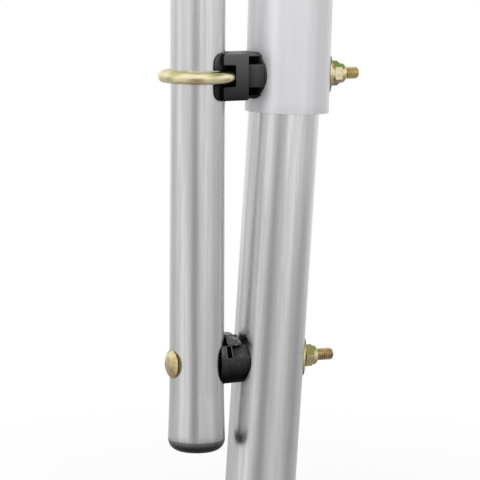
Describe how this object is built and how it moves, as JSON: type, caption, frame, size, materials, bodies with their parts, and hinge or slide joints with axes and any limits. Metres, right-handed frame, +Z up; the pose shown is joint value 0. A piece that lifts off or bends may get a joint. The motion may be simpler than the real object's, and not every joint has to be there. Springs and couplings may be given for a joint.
{
  "type": "net pole clamp joint",
  "caption": "Steel net pole clamped beside a leaning frame leg by an eye bolt and a carriage bolt, with saddle spacers, washers and lock nuts.",
  "frame": {"origin": "centre of the pole's open upper end", "axes": "+Z up along the pole's axis, +X from the pole towards the leg and the bolts' nut ends, -Y towards the front"},
  "size_m": [0.1296, 0.0494, 0.365],
  "materials": {
    "pole_zinc": "galvanised, soft streaks",
    "leg_zinc": "galvanised, soft streaks",
    "sleeve_zinc": "smooth satin zinc",
    "yellow_zinc": "yellow passivated zinc",
    "black_matte": "moulded, faint grain",
    "black_gloss": "moulded, glossy",
    "cap_black": "moulded, satin",
    "nylon": "natural nylon"
  },
  "bodies": {
    "frame": {"pole_tube": "pole_zinc", "frame_sleeve": "sleeve_zinc", "leg_tube": "leg_zinc", "eye_bolt": "yellow_zinc", "upper_spacer": "black_matte", "carriage_bolt": "yellow_zinc", "lower_spacer": "black_gloss"},
    "upper_washers": {"upper_washer": "yellow_zinc", "upper_spring_washer": "yellow_zinc"},
    "upper_nut": {"upper_lock_nut": "yellow_zinc", "upper_nut_insert": "nylon"},
    "lower_washer_body": {"lower_washer": "yellow_zinc"},
    "lower_nut": {"lower_lock_nut": "yellow_zinc", "lower_nut_insert": "nylon"},
    "end_cap": {"pole_end_cap": "cap_black"}
  },
  "joints": [
    {"name": "upper_washer_slide", "type": "slide", "parent": "frame", "child": "upper_washers", "axis": [1, 0, -0.008], "range_m": [0, 0.01875]},
    {"name": "upper_nut_turn", "type": "hinge", "parent": "upper_washers", "child": "upper_nut", "pos_m": [0.08774, 0, -0.1057], "axis": [1, 0, -0.008], "range_deg": [0, 5400.5]},
    {"name": "lower_washer_slide", "type": "slide", "parent": "frame", "child": "lower_washer_body", "axis": [0.9998, 0, -0.0204], "range_m": [0, 0.02063]},
    {"name": "lower_nut_turn", "type": "hinge", "parent": "lower_washer_body", "child": "lower_nut", "pos_m": [0.07029, 0, -0.27443], "axis": [0.9998, 0, -0.0204], "range_deg": [0, 5940.5]},
    {"name": "cap_pull", "type": "slide", "parent": "frame", "child": "end_cap", "axis": [0, 0, -1], "range_m": [0, 0.026]}
  ],
  "couplings": [
    {"joint": "upper_nut_turn", "follows": "upper_washer_slide", "rad_per_m": 5026.5},
    {"joint": "lower_nut_turn", "follows": "lower_washer_slide", "rad_per_m": 5026.5}
  ]
}
